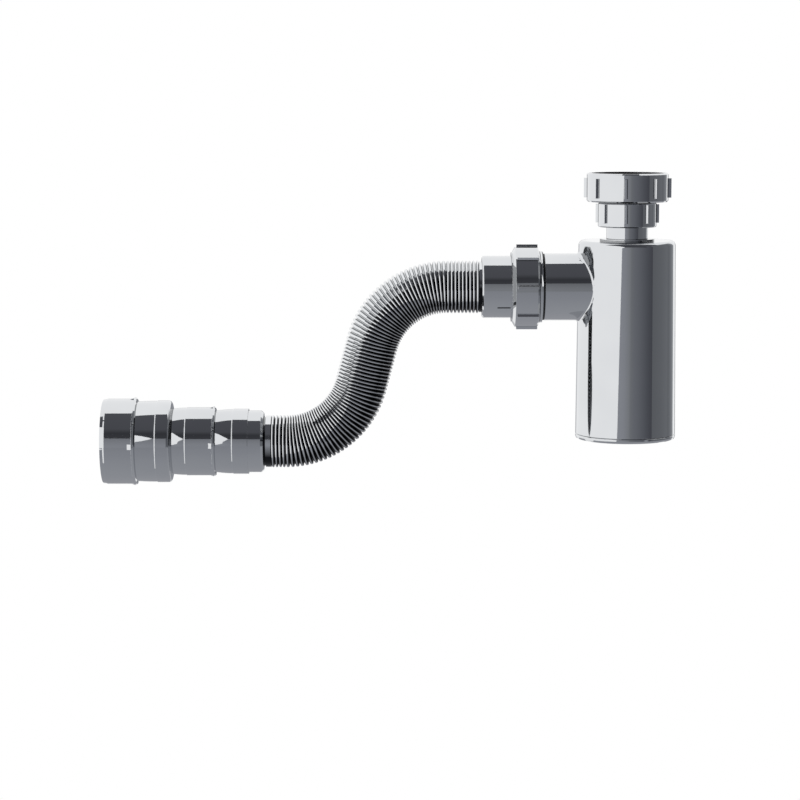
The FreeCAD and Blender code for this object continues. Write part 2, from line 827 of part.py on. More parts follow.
adapter = turned_body("wall_adapter", adapter_outside + adapter_inside, tapers)


def is_shoulder(edge):
    """Whether an edge is the outer circle of the step between the adapter's two pipe sizes."""
    return (isinstance(edge.Curve, Part.Circle)
            and abs(edge.Curve.Radius - middle_radius.value) < SAME_RADIUS
            and abs(edge.Curve.Center.z - shoulder.value) < SAME_RADIUS)


round_edges(adapter, "adapter_shoulder", size("adapter_shoulder_radius"), is_shoulder)
lay(adapter, adapter_start, adapter_height)

doc.recompute()

# Every feature is sound before anything is written
pieces_out = [item for item in doc.Objects if item.isDerivedFrom("PartDesign::Body") or item is hose]
for item in doc.Objects:
    if "Invalid" in item.State or "Error" in item.State:
        raise RuntimeError(f"{item.Label} did not build: {item.State}")
for item in pieces_out:
    if item.Shape.isNull() or not item.Shape.isValid():
        raise RuntimeError(f"{item.Label} has no sound shape")

os.makedirs("parts", exist_ok=True)
for item in pieces_out:
    item.Shape.exportStep(f"parts/{item.Label}.step")
    box = item.Shape.BoundBox
    print(f"{item.Label}: {item.Shape.Volume / 1000:.2f} cm3, {len(item.Shape.Faces)} faces, "
          f"x {box.XMin:.2f} to {box.XMax:.2f}, z {box.ZMin:.2f} to {box.ZMax:.2f}")
print(f"hose: {ridge_count} ridges, {hose_length:.1f} mm long")
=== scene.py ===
"""Dresses the bottle trap: chrome plate, corrugated hose, threads, moulded marks, studio and camera."""

import logging
import math
from dataclasses import dataclass, field
from enum import Enum
from typing import Any, ClassVar

import bmesh
import bpy
from mathutils import Matrix, Vector


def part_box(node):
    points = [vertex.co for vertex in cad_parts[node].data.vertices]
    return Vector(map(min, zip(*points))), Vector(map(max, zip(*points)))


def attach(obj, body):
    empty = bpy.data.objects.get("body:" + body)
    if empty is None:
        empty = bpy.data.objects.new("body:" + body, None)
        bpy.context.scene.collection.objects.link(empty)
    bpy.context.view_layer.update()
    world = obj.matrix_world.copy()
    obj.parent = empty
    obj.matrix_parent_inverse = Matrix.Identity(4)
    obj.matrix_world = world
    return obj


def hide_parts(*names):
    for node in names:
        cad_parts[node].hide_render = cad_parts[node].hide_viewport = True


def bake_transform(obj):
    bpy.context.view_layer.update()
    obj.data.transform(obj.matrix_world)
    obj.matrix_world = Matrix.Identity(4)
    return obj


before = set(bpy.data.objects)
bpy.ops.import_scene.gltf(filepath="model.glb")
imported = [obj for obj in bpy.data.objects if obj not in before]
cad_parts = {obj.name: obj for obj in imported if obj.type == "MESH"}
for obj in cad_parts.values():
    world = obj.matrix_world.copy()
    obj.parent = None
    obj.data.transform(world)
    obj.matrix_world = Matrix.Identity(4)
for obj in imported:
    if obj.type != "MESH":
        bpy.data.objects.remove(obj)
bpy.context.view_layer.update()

LOG = logging.getLogger("bottle_trap")
MM = 0.001
FULL_TURN = 2 * math.pi
QUARTER_TURN = math.pi / 2
MERGE_DISTANCE = 0.0005 * MM
SHARP_ANGLE = math.radians(28)
RING_STEPS = 96
WHITE = "#FFFFFF"

# How finely a noise is broken up: broad swells, mould grain, soft clouds and uneven haze
SWELL_DETAIL = 1.0
GRAIN_DETAIL = 2.0
CLOUD_DETAIL = 3.0
HAZE_DETAIL = 4.0

# How many mirrors a ray has met on its way
FIRST_MIRROR = 1.0
SECOND_MIRROR = 2.0

Corner = tuple[float, float, float]
Outline = tuple[tuple[float, float], ...]


class Axis(Enum):
    """Axes of the shared frame, by their place in a vector."""

    X = 0
    Y = 1
    Z = 2


def linear(code: str) -> tuple[float, float, float, float]:
    """Turns an sRGB hex colour into linear light.

    Args:
        code: Six hex digits after a hash sign.

    Returns:
        Red, green, blue and a full alpha.
    """
    parts = [int(code[start:start + 2], 16) / 255 for start in (1, 3, 5)]
    # The numbers are those of the sRGB standard's own curve
    levels = [part / 12.92 if part <= 0.04045 else ((part + 0.055) / 1.055) ** 2.4 for part in parts]
    return (levels[0], levels[1], levels[2], 1.0)


def per_metre(spacing: float) -> float:
    """Pattern scale that repeats at a spacing in metres."""
    return 1.0 / spacing


def clamped(value: float) -> float:
    """The value, kept between 0 and 1."""
    return min(1.0, max(0.0, value))


def add_node(
    tree: bpy.types.NodeTree,
    kind: str,
    settings: dict[str, Any] | None = None,
    values: dict[Any, Any] | None = None,
    links: dict[Any, bpy.types.NodeSocket] | None = None,
) -> bpy.types.Node:
    """Adds one node with its settings and links.

    Args:
        tree: Node tree that takes the node.
        kind: Blender's name for the node.
        settings: Properties of the node itself.
        values: Values of unlinked inputs.
        links: Outputs that feed its inputs.

    Returns:
        The new node.
    """
    node = tree.nodes.new(kind)
    for name, value in (settings or {}).items():
        setattr(node, name, value)
    for socket, value in (values or {}).items():
        node.inputs[socket].default_value = value
    for socket, source in (links or {}).items():
        tree.links.new(source, node.inputs[socket])
    return node


def mirrored_strength(tree: bpy.types.NodeTree, level: float) -> bpy.types.NodeSocket:
    """Strength of a light that is full in one mirror and lower in a mirror's mirror.

    Args:
        tree: Node tree of the light.
        level: Strength in a reflection of a reflection.

    Returns:
        The output that carries the strength.
    """
    rays = add_node(tree, "ShaderNodeLightPath")
    dimmed = add_node(
        tree, "ShaderNodeMapRange",
        values={"From Min": FIRST_MIRROR, "From Max": SECOND_MIRROR, "To Min": 1.0, "To Max": level},
        links={"Value": rays.outputs["Glossy Depth"]},
    )
    return dimmed.outputs["Result"]


@dataclass(frozen=True)
class Finish:
    """A surface finish that can be put on any piece."""

    name: str

    def shade(self, tree: bpy.types.NodeTree, shader: bpy.types.Node) -> None:
        """Sets up the shader; each finish has its own."""
        raise NotImplementedError

    def material(self) -> bpy.types.Material:
        """Gives the finish as a material, made on first use.

        Returns:
            The material, which all pieces of this finish share.
        """
        made = bpy.data.materials.get(self.name)
        if made is None:
            made = bpy.data.materials.new(self.name)
            made.use_nodes = True
            self.shade(made.node_tree, made.node_tree.nodes["Principled BSDF"])
        return made

    def dress(self, piece: bpy.types.Object) -> None:
        """Puts the finish on a piece.

        Args:
            piece: New piece, or a CAD node with its one material slot.
        """
        if piece.material_slots:
            piece.material_slots[0].material = self.material()
        else:
            piece.data.materials.append(self.material())


@dataclass(frozen=True)
class ChromePlate(Finish):
    """Bright chrome plate on polished moulded ABS.

    A cold near-white mirror: the plate clouds a little from place to place, handling leaves a thin haze, and
    the plastic under it has a shallow ripple that only bends the edges of reflections.
    """

    name: str = "chrome_plate_on_moulded_abs"
    bright: str = "#E1E3E5"
    clouded: str = "#D8DADD"
    cloud_size: float = 26 * MM
    polished: float = 0.02
    hazed: float = 0.05
    haze_size: float = 3 * MM
    ripple_size: float = 9 * MM
    ripple_depth: float = 0.004 * MM
    edge_radius: float = 0.22 * MM
    edge_samples: int = 4

    def shade(self, tree: bpy.types.NodeTree, shader: bpy.types.Node) -> None:
        """Makes a mirror with clouded tone, hazed polish, rippled base and softened edges.

        Args:
            tree: Node tree of the material.
            shader: Principled shader in that tree.
        """
        place = add_node(tree, "ShaderNodeTexCoord")
        cloud = add_node(
            tree, "ShaderNodeTexNoise",
            values={"Scale": per_metre(self.cloud_size), "Detail": CLOUD_DETAIL},
            links={"Vector": place.outputs["Object"]},
        )
        tone = add_node(tree, "ShaderNodeValToRGB", links={"Fac": cloud.outputs["Fac"]})
        tone.color_ramp.elements[0].color = linear(self.clouded)
        tone.color_ramp.elements[1].color = linear(self.bright)
        haze = add_node(
            tree, "ShaderNodeTexNoise",
            values={"Scale": per_metre(self.haze_size), "Detail": HAZE_DETAIL},
            links={"Vector": place.outputs["Object"]},
        )
        polish = add_node(
            tree, "ShaderNodeMapRange",
            values={"To Min": self.polished, "To Max": self.hazed},
            links={"Value": haze.outputs["Fac"]},
        )
        ripple = add_node(
            tree, "ShaderNodeTexNoise",
            values={"Scale": per_metre(self.ripple_size), "Detail": SWELL_DETAIL},
            links={"Vector": place.outputs["Object"]},
        )
        edge = add_node(
            tree, "ShaderNodeBevel", {"samples": self.edge_samples}, {"Radius": self.edge_radius},
        )
        bump = add_node(
            tree, "ShaderNodeBump",
            values={"Strength": 1.0, "Distance": self.ripple_depth},
            links={"Height": ripple.outputs["Fac"], "Normal": edge.outputs["Normal"]},
        )
        shader.inputs["Metallic"].default_value = 1.0
        tree.links.new(tone.outputs["Color"], shader.inputs["Base Color"])
        tree.links.new(polish.outputs["Result"], shader.inputs["Roughness"])
        tree.links.new(bump.outputs["Normal"], shader.inputs["Normal"])


@dataclass(frozen=True)
class MetalWithPaintedGrooveShade(Finish):
    """Bright metal over ridges, with shade painted into their grooves that deepens on the way down.

    Crests are as bright as the plated fittings. The deeper the groove, the duller and darker the surface is
    painted, as painted shade in place of the shade that falls there. How much painted shade each point gets
    comes with the mesh as an attribute.
    """

    LAYER: ClassVar[str] = "painted_groove_shade"

    name: str = "metallised_corrugated_polypropylene"
    crest: str = "#E8EAEC"
    flank: str = "#2A2B2E"
    groove: str = "#08080A"
    crest_share: float = 0.15
    flank_share: float = 0.28
    crest_roughness: float = 0.05
    groove_roughness: float = 0.35
    grain_size: float = 1.6 * MM
    grain_depth: float = 0.004 * MM

    def shade(self, tree: bpy.types.NodeTree, shader: bpy.types.Node) -> None:
        """Makes a mirror on the crests that falls off into painted shade with the share that the mesh
        carries.

        Args:
            tree: Node tree of the material.
            shader: Principled shader in that tree.
        """
        depth = add_node(tree, "ShaderNodeAttribute", {"attribute_name": self.LAYER})
        place = add_node(tree, "ShaderNodeTexCoord")
        tone = add_node(tree, "ShaderNodeValToRGB", links={"Fac": depth.outputs["Fac"]})
        tone.color_ramp.elements[0].color = linear(self.crest)
        tone.color_ramp.elements[0].position = self.crest_share
        tone.color_ramp.elements[1].color = linear(self.groove)
        flank = tone.color_ramp.elements.new(self.flank_share)
        flank.color = linear(self.flank)
        dulling = add_node(
            tree, "ShaderNodeMapRange",
            values={"To Min": self.crest_roughness, "To Max": self.groove_roughness},
            links={"Value": depth.outputs["Fac"]},
        )
        grain = add_node(
            tree, "ShaderNodeTexNoise",
            values={"Scale": per_metre(self.grain_size), "Detail": GRAIN_DETAIL},
            links={"Vector": place.outputs["Object"]},
        )
        bump = add_node(
            tree, "ShaderNodeBump",
            values={"Strength": 1.0, "Distance": self.grain_depth},
            links={"Height": grain.outputs["Fac"]},
        )
        shader.inputs["Metallic"].default_value = 1.0
        tree.links.new(tone.outputs["Color"], shader.inputs["Base Color"])
        tree.links.new(dulling.outputs["Result"], shader.inputs["Roughness"])
        tree.links.new(bump.outputs["Normal"], shader.inputs["Normal"])


@dataclass(frozen=True)
class MouldedPolymer(Finish):
    """Plain moulded rubber or plastic.

    A soft sheen over a fine mould grain, with the faint clouding of a filled compound.
    """

    light: str
    dark: str
    roughness: float
    grain_size: float
    grain_depth: float
    grain_strength: float = 0.6
    cloud_size: float = 6 * MM

    def shade(self, tree: bpy.types.NodeTree, shader: bpy.types.Node) -> None:
        """Lays two close tones in soft clouds over a fine grain.

        Args:
            tree: Node tree of the material.
            shader: Principled shader in that tree.
        """
        place = add_node(tree, "ShaderNodeTexCoord")
        cloud = add_node(
            tree, "ShaderNodeTexNoise",
            values={"Scale": per_metre(self.cloud_size), "Detail": CLOUD_DETAIL},
            links={"Vector": place.outputs["Object"]},
        )
        tone = add_node(tree, "ShaderNodeValToRGB", links={"Fac": cloud.outputs["Fac"]})
        tone.color_ramp.elements[0].color = linear(self.dark)
        tone.color_ramp.elements[1].color = linear(self.light)
        grain = add_node(
            tree, "ShaderNodeTexNoise",
            values={"Scale": per_metre(self.grain_size), "Detail": GRAIN_DETAIL},
            links={"Vector": place.outputs["Object"]},
        )
        bump = add_node(
            tree, "ShaderNodeBump",
            values={"Strength": self.grain_strength, "Distance": self.grain_depth},
            links={"Height": grain.outputs["Fac"]},
        )
        shader.inputs["Roughness"].default_value = self.roughness
        tree.links.new(tone.outputs["Color"], shader.inputs["Base Color"])
        tree.links.new(bump.outputs["Normal"], shader.inputs["Normal"])


CHROME = ChromePlate()
# Hose finish: bright crests with painted shade down in the grooves
METALLISED = MetalWithPaintedGrooveShade()
# Outlet thread: chrome crests with painted shade in the thread's roots
THREAD_PLATE = MetalWithPaintedGrooveShade("chrome_thread_with_painted_root_shade")
# Dull near-black seals, milky slip rings, satin pale grey inner tube, and satin black for the unplated inlet
# thread, the dark line on the cuff and the painted shade in the nut's bore and the outlet's run-out groove
RUBBER = MouldedPolymer("black_moulded_rubber", "#232427", "#18191B", 0.6, 0.4 * MM, 0.012 * MM)
POLYTHENE = MouldedPolymer("white_moulded_polythene", "#ECEBE6", "#E2E1DB", 0.42, 0.7 * MM, 0.006 * MM)
ABS = MouldedPolymer("grey_moulded_abs", "#C4C4C2", "#B9B9B6", 0.35, 0.5 * MM, 0.006 * MM)
DARK_ABS_AND_SHADE = MouldedPolymer("dark_abs_and_painted_shade", "#1B1C1E", "#131415", 0.5, 0.5 * MM, 0.006 * MM)


def new_piece(name: str, shape: bmesh.types.BMesh, sharp_angle: float = SHARP_ANGLE) -> bpy.types.Object:
    """Turns a bmesh into an object that sits at the origin.

    Args:
        name: Name of the piece.
        shape: Finished bmesh, freed here.
        sharp_angle: Faces shade smoothly into each other up to this angle.

    Returns:
        The object, linked to the scene.
    """
    mesh = bpy.data.meshes.new(name)
    shape.to_mesh(mesh)
    shape.free()
    mesh.shade_smooth()
    mesh.set_sharp_from_angle(angle=sharp_angle)
    piece = bpy.data.objects.new(name, mesh)
    bpy.context.scene.collection.objects.link(piece)
    return piece


def close_up(shape: bmesh.types.BMesh) -> None:
    """Merges doubles and points every face outwards."""
    bmesh.ops.remove_doubles(shape, verts=shape.verts, dist=MERGE_DISTANCE)
    bmesh.ops.recalc_face_normals(shape, faces=shape.faces)


def axis_of(node: str) -> Vector:
    """Middle of a CAD node's box, which lies on its own axis."""
    low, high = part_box(node)
    return (low + high) / 2


def dress_nodes(finishes: dict[str, Finish]) -> list[bpy.types.Object]:
    """Puts finishes on CAD nodes.

    Args:
        finishes: Finish of each node, by the node's name.

    Returns:
        The nodes' objects.
    """
    dressed = []
    for name, finish in finishes.items():
        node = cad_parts[name]
        finish.dress(node)
        dressed.append(node)
    return dressed


@dataclass(frozen=True)
class MouldedBlock:
    """Small block that stands out of a tube lying along X."""

    length: float
    width: float
    height: float
    rounding: float
    rounding_steps: int = 2

    def add(self, shape: bmesh.types.BMesh, place: Vector, radius: float, angle: float) -> None:
        """Adds one block to the outside of the tube.

        Args:
            shape: Bmesh that takes the block.
            place: Point on the tube's axis at the middle of the block.
            radius: Outer radius of the tube there.
            angle: Turn round the axis, from the front and upwards.
        """
        stretched = Matrix.Diagonal((self.length, self.width, 2 * self.height, 1.0))
        lifted = Matrix.Translation((0, 0, radius))
        turned = Matrix.Rotation(QUARTER_TURN - angle, 4, "X")
        placed = Matrix.Translation(place) @ turned @ lifted @ stretched
        made = bmesh.ops.create_cube(shape, size=1.0, matrix=placed)
        edges = dict.fromkeys(edge for vert in made["verts"] for edge in vert.link_edges)
        bmesh.ops.bevel(
            shape, geom=list(edges), offset=self.rounding, segments=self.rounding_steps, profile=0.5,
            affect="EDGES", material=-1,
        )


@dataclass(frozen=True)
class StopLug:
    """Small wedge that stands out of a tube lying along X, with a long slope away from the nose."""

    width: float
    height: float
    long_slope: float
    short_slope: float
    sink: float

    def add(self, shape: bmesh.types.BMesh, place: Vector, radius: float, angle: float) -> None:
        """Adds one lug to the outside of the tube.

        Args:
            shape: Bmesh that takes the lug.
            place: Point on the tube's axis under the lug's peak.
            radius: Outer radius of the tube there.
            angle: Turn round the axis, from the front and upwards.
        """
        side = -self.width / 2
        base = radius - self.sink
        corners = [
            shape.verts.new((-self.long_slope, side, base)),
            shape.verts.new((-self.long_slope, side, radius)),
            shape.verts.new((0, side, radius + self.height)),
            shape.verts.new((self.short_slope, side, radius)),
            shape.verts.new((self.short_slope, side, base)),
        ]
        face = bmesh.ops.contextual_create(shape, geom=corners)["faces"]
        grown = bmesh.ops.extrude_face_region(shape, geom=face)["geom"]
        far = [item for item in grown if isinstance(item, bmesh.types.BMVert)]
        bmesh.ops.translate(shape, vec=(0, self.width, 0), verts=far)
        turned = Matrix.Rotation(QUARTER_TURN - angle, 4, "X")
        bmesh.ops.transform(shape, matrix=Matrix.Translation(place) @ turned, verts=corners + far)


@dataclass
class ScrewThread:
    """Moulded screw thread: one ridge that winds round a cylinder, turn beside turn."""

    name: str
    body: str
    start: Vector
    along: Axis
    length: float
    wall_radius: float
    crest_radius: float
    pitch: float
    crest_width: float = 0.4 * MM
    crest_lean: float = 0.0
    root_sink: float = 0.12 * MM
    start_angle: float = 0.0
    turn_steps: int = 64

    def build(self, finish: Finish) -> bpy.types.Object:
        """Winds the ridge and notes which of its points lie at the root.

        Args:
            finish: Finish of the thread.

        Returns:
            The thread, riding on its body.
        """
        side = math.copysign(1.0, self.crest_radius - self.wall_radius)
        root = self.wall_radius - side * self.root_sink
        turns = (self.length - self.pitch) / self.pitch
        steps = max(self.turn_steps, round(turns * self.turn_steps))
        half_root = self.pitch / 2
        half_crest = self.crest_width / 2
        shape = bmesh.new()
        corners = [
            shape.verts.new((root, 0, 0)),
            shape.verts.new((self.crest_radius, 0, half_root - half_crest)),
            shape.verts.new((self.crest_radius - self.crest_lean, 0, half_root + half_crest)),
            shape.verts.new((root, 0, self.pitch)),
        ]
        for pair in zip(corners, corners[1:] + corners[:1]):
            shape.edges.new(pair)
        bmesh.ops.spin(
            shape, geom=shape.verts[:] + shape.edges[:], cent=(0, 0, 0), axis=(0, 0, 1),
            dvec=(0, 0, turns * self.pitch / steps), angle=turns * FULL_TURN, steps=steps,
        )
        ends = [edge for edge in shape.edges if edge.is_boundary]
        bmesh.ops.holes_fill(shape, edges=ends, sides=len(corners))
        # Root points get 1 and crests 0; under the outlet thread's finish this paints shade into the roots
        layer = shape.verts.layers.float.new(MetalWithPaintedGrooveShade.LAYER)
        middle = (root + self.crest_radius) / 2
        for vert in shape.verts:
            vert[layer] = float((vert.co.xy.length - middle) * side < 0)
        turned = Matrix.Rotation(self.start_angle, 4, "Z")
        if self.along is Axis.X:
            turned = Matrix.Rotation(-QUARTER_TURN, 4, "Y") @ turned
        bmesh.ops.transform(shape, matrix=Matrix.Translation(self.start) @ turned, verts=shape.verts)
        close_up(shape)
        piece = new_piece(self.name, shape)
        finish.dress(piece)
        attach(piece, self.body)
        return piece


@dataclass
class InletUnion:
    """Union nut at the top, with its gasket, flanged tailpiece and internal thread."""

    thread_radius: float = 20.95 * MM
    thread_height: float = 1.2 * MM
    thread_pitch: float = 2.3 * MM
    thread_margin: float = 0.3 * MM

    def build(self) -> list[bpy.types.Object]:
        """Dresses the CAD pieces and winds the nut's thread.

        Returns:
            The dressed and the new pieces.
        """
        dressed = dress_nodes({"inlet_nut": CHROME, "inlet_gasket": RUBBER, "tailpiece": ABS})
        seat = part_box("inlet_gasket")[1].z
        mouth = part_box("inlet_nut")[1].z
        # The dark thread lines the whole bore: unplated thread, and painted shade that stands in for the
        # shade inside the nut
        thread = ScrewThread(
            "inlet_thread", "union_nut", Vector((0, 0, seat + self.thread_margin)), Axis.Z,
            length=mouth - seat - 2 * self.thread_margin,
            wall_radius=self.thread_radius,
            crest_radius=self.thread_radius - self.thread_height,
            pitch=self.thread_pitch,
        ).build(DARK_ABS_AND_SHADE)
        return [*dressed, thread]


@dataclass
class NeckJoint:
    """Slip joint that grips the dip tube: nut, ring and cone seal."""

    def build(self) -> list[bpy.types.Object]:
        """Dresses the CAD pieces and gives them back."""
        return dress_nodes({"neck_nut": CHROME, "neck_slip_ring": POLYTHENE, "neck_seal": RUBBER})


@dataclass
class Bottle:
    """Bottle with its outlet spigot, dip tube, seals and cleaning cap."""

    def build(self) -> list[bpy.types.Object]:
        """Dresses the CAD pieces and gives them back."""
        plated = dress_nodes({"bottle_body": CHROME, "dip_tube": CHROME, "bottom_cap": CHROME})
        return plated + dress_nodes({"dip_tube_seal": RUBBER, "bottom_seal": RUBBER})


@dataclass
class OutletUnion:
    """Union nut at the outlet, with its gasket, ring and the cuff that takes the hose.

    Places along the outlet are distances from the bottle's axis.
    """

    thread_start: float = 48.6 * MM
    thread_radius: float = 20.65 * MM
    thread_height: float = 0.27 * MM
    thread_pitch: float = 2.3 * MM
    thread_crest: float = 0.62 * MM
    thread_lean: float = 0.07 * MM
    thread_from: float = math.radians(-85)
    stop_start: float = 48.1 * MM
    stop_end: float = 49.4 * MM
    stop_foot: float = 18.4 * MM
    stop_radius: float = 19.3 * MM
    cuff_radius: float = 18.0 * MM
    mark: MouldedBlock = MouldedBlock(7.6 * MM, 0.8 * MM, 0.1 * MM, 0.04 * MM)
    mark_from_mouth: float = 12.5 * MM
    mark_angle: float = math.radians(-38)

    def groove_shade_ring(self, height: float) -> bpy.types.Object:
        """Turns the dark ring in the thread's run-out groove at the spigot: painted shade in that groove.

        Args:
            height: Height of the outlet's axis.

        Returns:
            The ring, riding on the bottle.
        """
        ends = (
            (-self.stop_start, self.stop_foot), (-self.stop_start, self.stop_radius),
            (-self.stop_end, self.stop_radius), (-self.stop_end, self.stop_foot),
        )
        shape = bmesh.new()
        corners = [shape.verts.new((along, 0, height + radius)) for along, radius in ends]
        edges = [shape.edges.new(pair) for pair in zip(corners, corners[1:] + corners[:1])]
        bmesh.ops.spin(
            shape, geom=corners + edges, cent=(0, 0, height), axis=(1, 0, 0),
            angle=FULL_TURN, steps=RING_STEPS, use_merge=True,
        )
        close_up(shape)
        ring = new_piece("outlet_groove_shade_ring", shape)
        DARK_ABS_AND_SHADE.dress(ring)
        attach(ring, "bottle")
        return ring

    def build(self) -> list[bpy.types.Object]:
        """Dresses the CAD pieces, winds the spigot's thread and sets the dark mark in the cuff.

        Returns:
            The dressed and the new pieces.
        """
        dressed = dress_nodes({
            "outlet_nut": CHROME, "hose_cuff": CHROME,
            "outlet_gasket": RUBBER, "outlet_slip_ring": POLYTHENE,
        })
        height = axis_of("hose_cuff").z
        thread = ScrewThread(
            "outlet_thread", "bottle", Vector((-self.thread_start, 0, height)), Axis.X,
            length=-self.thread_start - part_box("bottle_body")[0].x,
            wall_radius=self.thread_radius,
            crest_radius=self.thread_radius + self.thread_height,
            pitch=self.thread_pitch,
            crest_width=self.thread_crest,
            crest_lean=self.thread_lean,
            start_angle=self.thread_from,
        ).build(THREAD_PLATE)
        place = Vector((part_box("hose_cuff")[0].x + self.mark_from_mouth, 0, height))
        shape = bmesh.new()
        self.mark.add(shape, place, self.cuff_radius, self.mark_angle)
        mark = new_piece("cuff_mark", shape)
        DARK_ABS_AND_SHADE.dress(mark)
        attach(mark, "cuff")
        return [*dressed, thread, self.groove_shade_ring(height), mark]


@dataclass
class WallAdapter:
    """Stepped adapter that goes into the wall pipe, with stop lugs behind both of its ribs.

    Each row of lugs has its distance from the nose and the adapter's radius there.
    """

    lug: StopLug = StopLug(3.2 * MM, 0.65 * MM, 2.4 * MM, 1.4 * MM, 1.0 * MM)
    lug_rows: Outline = ((75.6 * MM, 25.0 * MM), (29.5 * MM, 19.83 * MM))
    lug_count: int = 4

    def build(self) -> list[bpy.types.Object]:
        """Dresses the CAD piece and sets the lugs round its ribs.

        Returns:
            The dressed and the new piece.
        """
        dressed = dress_nodes({"wall_adapter": CHROME})
        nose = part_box("wall_adapter")[1].x
        height = axis_of("wall_adapter").z
        shape = bmesh.new()
        for reach, radius in self.lug_rows:
            place = Vector((nose - reach, 0, height))
            for index in range(self.lug_count):
                self.lug.add(shape, place, radius, index * FULL_TURN / self.lug_count)
        close_up(shape)
        lugs = new_piece("adapter_lugs", shape)
        CHROME.dress(lugs)
        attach(lugs, "adapter")
        return [*dressed, lugs]


